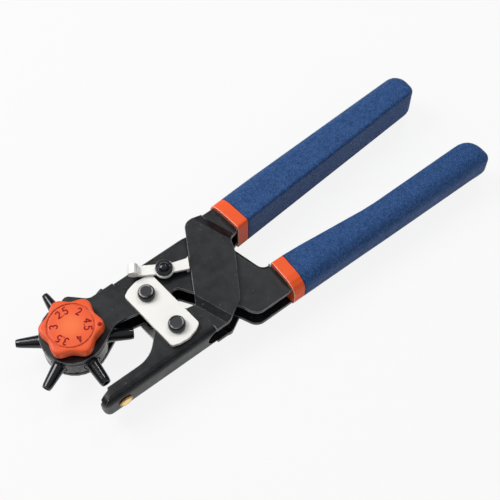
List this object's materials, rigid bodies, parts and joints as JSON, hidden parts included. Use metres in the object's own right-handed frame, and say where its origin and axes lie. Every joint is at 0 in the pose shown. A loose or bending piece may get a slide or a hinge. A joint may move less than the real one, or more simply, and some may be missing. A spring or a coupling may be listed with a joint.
{
  "type": "rotary hole punch",
  "caption": "Hand pliers with a revolving drum of punch tubes over a brass pad, two pressed steel frames joined by link plates, a latch and sleeved handles.",
  "frame": {"origin": "middle of the brass anvil's face, on the middle plane of the tool", "axes": "+X towards the handles, +Y from the anvil towards the turret, +Z out of the side with the size knob"},
  "size_m": [0.2362, 0.0727, 0.0274],
  "materials": {
    "black_steel": "satin black",
    "blackened_steel": "gloss black",
    "zinc_steel": "zinc plated",
    "bright_steel": "bright drawn",
    "brass": "turned",
    "blue_plastic": "grained",
    "orange_plastic": "grained",
    "orange_knob": "satin"
  },
  "bodies": {
    "frame": {"main_frame": "black_steel", "anvil": "brass", "lower_pivot_rivet": "blackened_steel", "lower_pivot_sleeve": "bright_steel", "opening_spring": "bright_steel", "upper_grip_collar": "orange_plastic", "upper_grip": "blue_plastic"},
    "link": {"front_link_plate": "zinc_steel", "back_link_plate": "zinc_steel"},
    "arm": {"turret_arm_frame": "black_steel", "upper_pivot_rivet": "blackened_steel", "upper_pivot_sleeve": "bright_steel", "axle_washer": "bright_steel", "index_pin": "blackened_steel", "index_spring": "bright_steel", "latch_rivet": "blackened_steel", "latch_washer": "bright_steel", "lower_grip_collar": "orange_plastic", "lower_grip": "blue_plastic"},
    "turret": {"turret_drum": "black_steel", "turret_axle": "blackened_steel", "size_knob": "orange_knob", "punch_4_0": "blackened_steel", "punch_3_5": "blackened_steel", "punch_3_0": "blackened_steel", "punch_2_5": "blackened_steel", "punch_2_0": "blackened_steel", "punch_4_5": "blackened_steel"},
    "latch": {"latch_lever": "zinc_steel"}
  },
  "joints": [
    {"name": "link_swing", "type": "hinge", "parent": "frame", "child": "link", "pos_m": [0.0369, 0.0042, 0], "axis": [0, 0, 1], "range_deg": [0, 2.9]},
    {"name": "arm_close", "type": "hinge", "parent": "link", "child": "arm", "pos_m": [0.035, 0.025, 0], "axis": [0, 0, 1], "range_deg": [0, 2.9], "stiffness_Nm_per_rad": 1, "springref_deg": -17.19, "deforming": ["opening_spring"]},
    {"name": "turret_spin", "type": "hinge", "parent": "arm", "child": "turret", "pos_m": [-0.0013, 0.0308, 0], "axis": [0, 0, 1], "continuous": true, "deforming": ["index_spring"]},
    {"name": "latch_turn", "type": "hinge", "parent": "arm", "child": "latch", "pos_m": [0.0484, 0.03, 0], "axis": [0, 0, 1], "range_deg": [0, 20]}
  ],
  "couplings": [
    {"joint": "link_swing", "follows": "arm_close", "ratio": 1}
  ]
}
